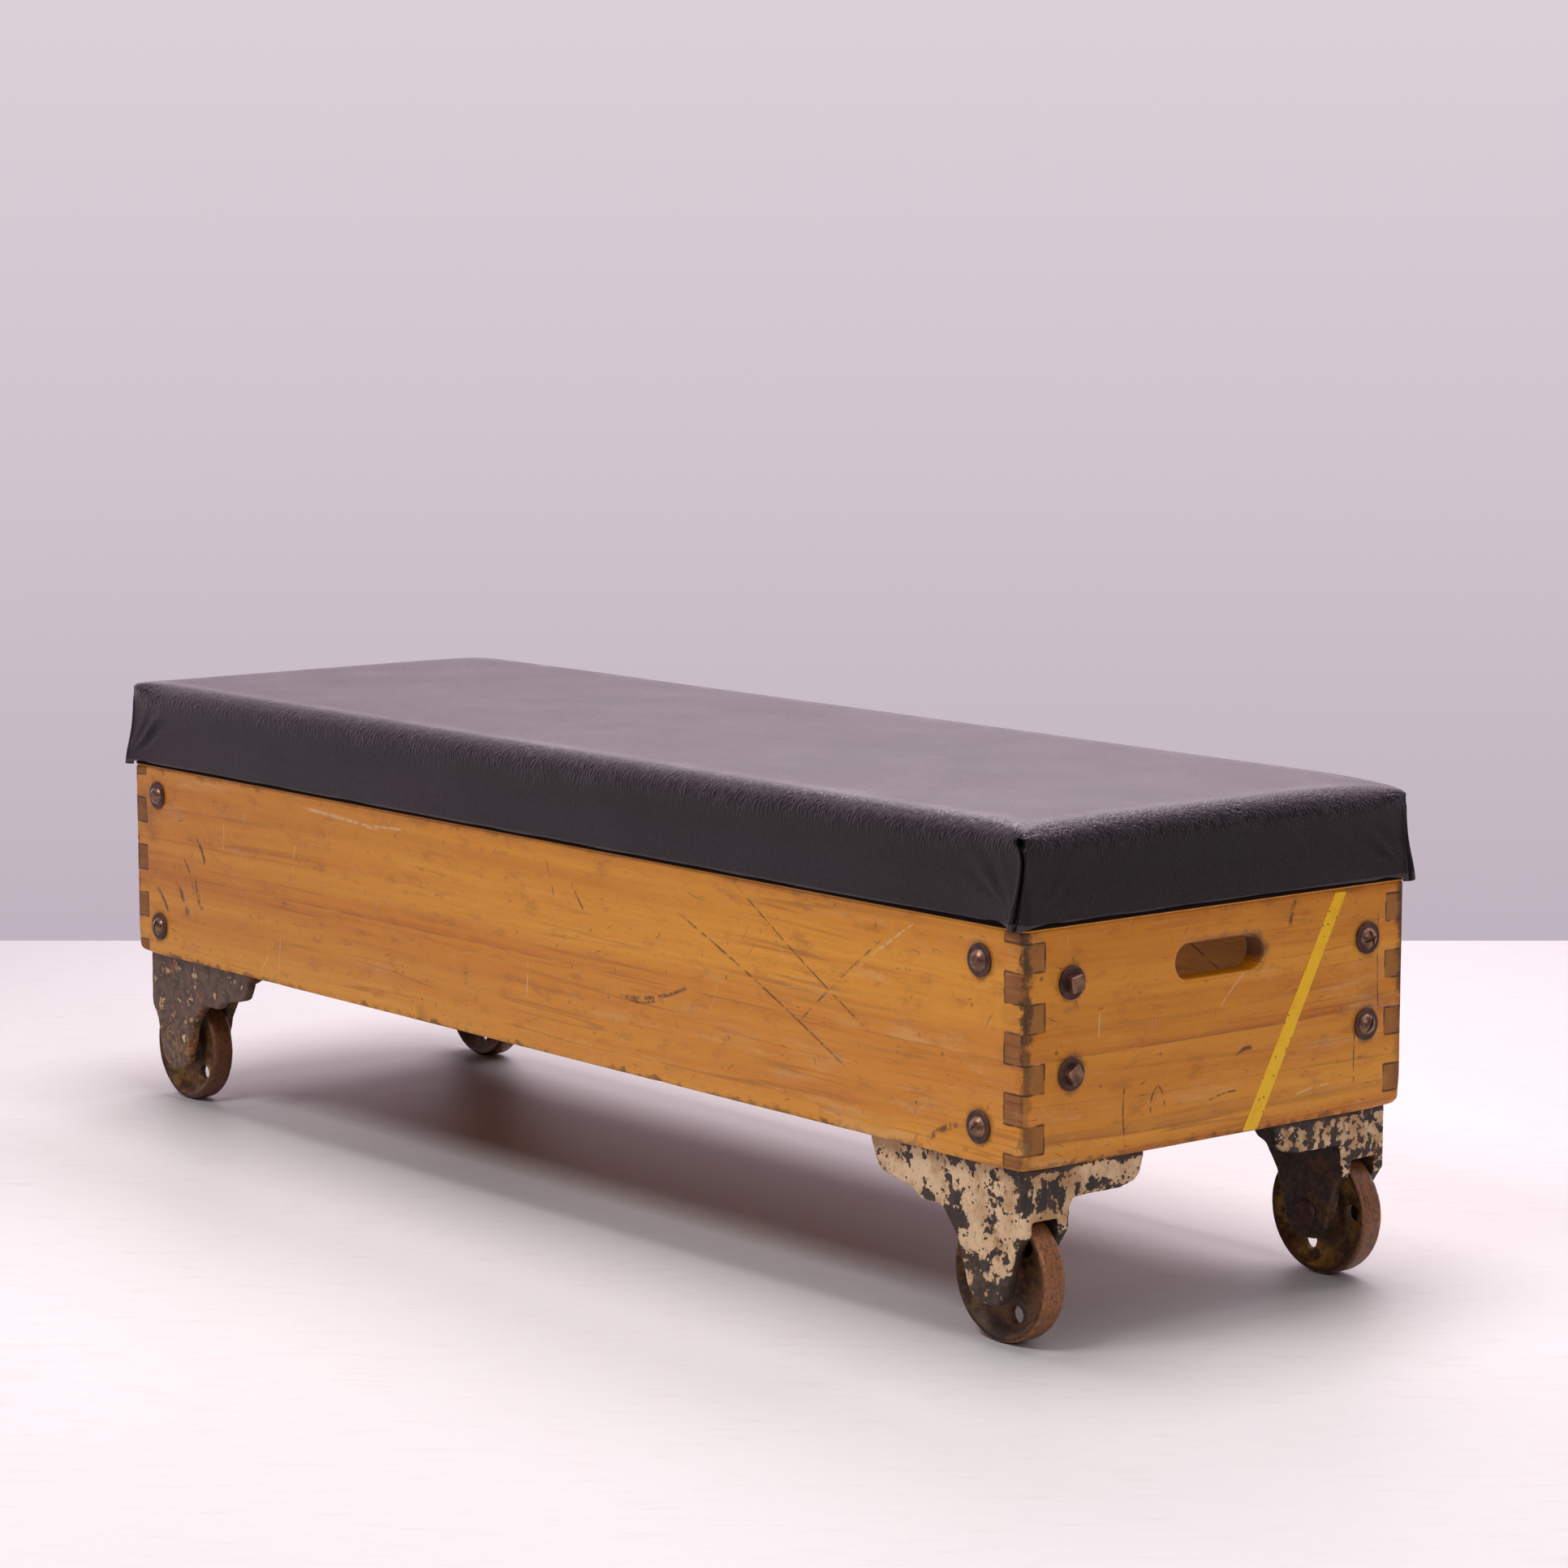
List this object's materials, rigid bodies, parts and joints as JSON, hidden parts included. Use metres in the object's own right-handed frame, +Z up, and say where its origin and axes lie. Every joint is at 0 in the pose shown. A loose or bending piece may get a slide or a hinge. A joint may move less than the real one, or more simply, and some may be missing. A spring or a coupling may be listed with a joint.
{
  "type": "padded gym box section on casters",
  "caption": "Long wooden box frame with a padded leather top, a hand slot in each end and fixed iron wheels at its corners, for rolling about or sitting on.",
  "frame": {"origin": "on the floor under the middle of the box", "axes": "+X along the box towards the end shown with square bolt heads nearest the front, +Y across the box to the rear, +Z up"},
  "size_m": [1.515, 0.4958, 0.4735],
  "materials": {
    "varnished_wood": "aged amber varnish, satin",
    "plain_wood": "bare, aged",
    "lid_plywood": "bare plywood",
    "pad_felt": "matte felt and foam",
    "black_leather": "pebbled grain, semi-matte",
    "tack_steel": "blued steel",
    "painted_iron": "dark iron with worn cream paint",
    "rusty_iron": "brown rust, worn tread",
    "bush_bronze": "oily bronze",
    "fastener_steel": "rust-browned steel"
  },
  "bodies": {
    "box": {"bracket_screws_front_left": "fastener_steel", "bracket_screws_front_right": "fastener_steel", "bracket_screws_rear_left": "fastener_steel", "bracket_screws_rear_right": "fastener_steel", "caster_axle_front_left": "fastener_steel", "caster_axle_front_right": "fastener_steel", "caster_axle_rear_left": "fastener_steel", "caster_axle_rear_right": "fastener_steel", "caster_bracket_front_left": "painted_iron", "caster_bracket_front_right": "painted_iron", "caster_bracket_rear_left": "painted_iron", "caster_bracket_rear_right": "painted_iron", "corner_post_front_left": "plain_wood", "corner_post_front_right": "plain_wood", "corner_post_rear_left": "plain_wood", "corner_post_rear_right": "plain_wood", "cover_tacks": "tack_steel", "foam_pad": "pad_felt", "front_bolts": "fastener_steel", "front_nuts": "fastener_steel", "front_side_board": "varnished_wood", "front_washers": "fastener_steel", "leather_cover": "black_leather", "left_end_board": "varnished_wood", "left_end_bolts": "fastener_steel", "left_end_nuts": "fastener_steel", "left_end_washers": "fastener_steel", "lid_battens": "plain_wood", "lid_board": "lid_plywood", "lid_screws": "fastener_steel", "rear_bolts": "fastener_steel", "rear_nuts": "fastener_steel", "rear_side_board": "varnished_wood", "rear_washers": "fastener_steel", "right_end_board": "varnished_wood", "right_end_bolts": "fastener_steel", "right_end_nuts": "fastener_steel", "right_end_washers": "fastener_steel", "thrust_washers_front_left": "fastener_steel", "thrust_washers_front_right": "fastener_steel", "thrust_washers_rear_left": "fastener_steel", "thrust_washers_rear_right": "fastener_steel"},
    "rolling_wheel_front_left": {"wheel_front_left": "rusty_iron", "hub_bush_front_left": "bush_bronze"},
    "rolling_wheel_front_right": {"wheel_front_right": "rusty_iron", "hub_bush_front_right": "bush_bronze"},
    "rolling_wheel_rear_left": {"wheel_rear_left": "rusty_iron", "hub_bush_rear_left": "bush_bronze"},
    "rolling_wheel_rear_right": {"wheel_rear_right": "rusty_iron", "hub_bush_rear_right": "bush_bronze"}
  },
  "joints": [
    {"name": "wheel_spin_front_left", "type": "hinge", "parent": "box", "child": "rolling_wheel_front_left", "pos_m": [-0.6895, -0.202, 0.061], "axis": [0, 1, 0], "continuous": true},
    {"name": "wheel_spin_front_right", "type": "hinge", "parent": "box", "child": "rolling_wheel_front_right", "pos_m": [0.6895, -0.202, 0.061], "axis": [0, 1, 0], "continuous": true},
    {"name": "wheel_spin_rear_left", "type": "hinge", "parent": "box", "child": "rolling_wheel_rear_left", "pos_m": [-0.6895, 0.202, 0.061], "axis": [0, 1, 0], "continuous": true},
    {"name": "wheel_spin_rear_right", "type": "hinge", "parent": "box", "child": "rolling_wheel_rear_right", "pos_m": [0.6895, 0.202, 0.061], "axis": [0, 1, 0], "continuous": true}
  ]
}
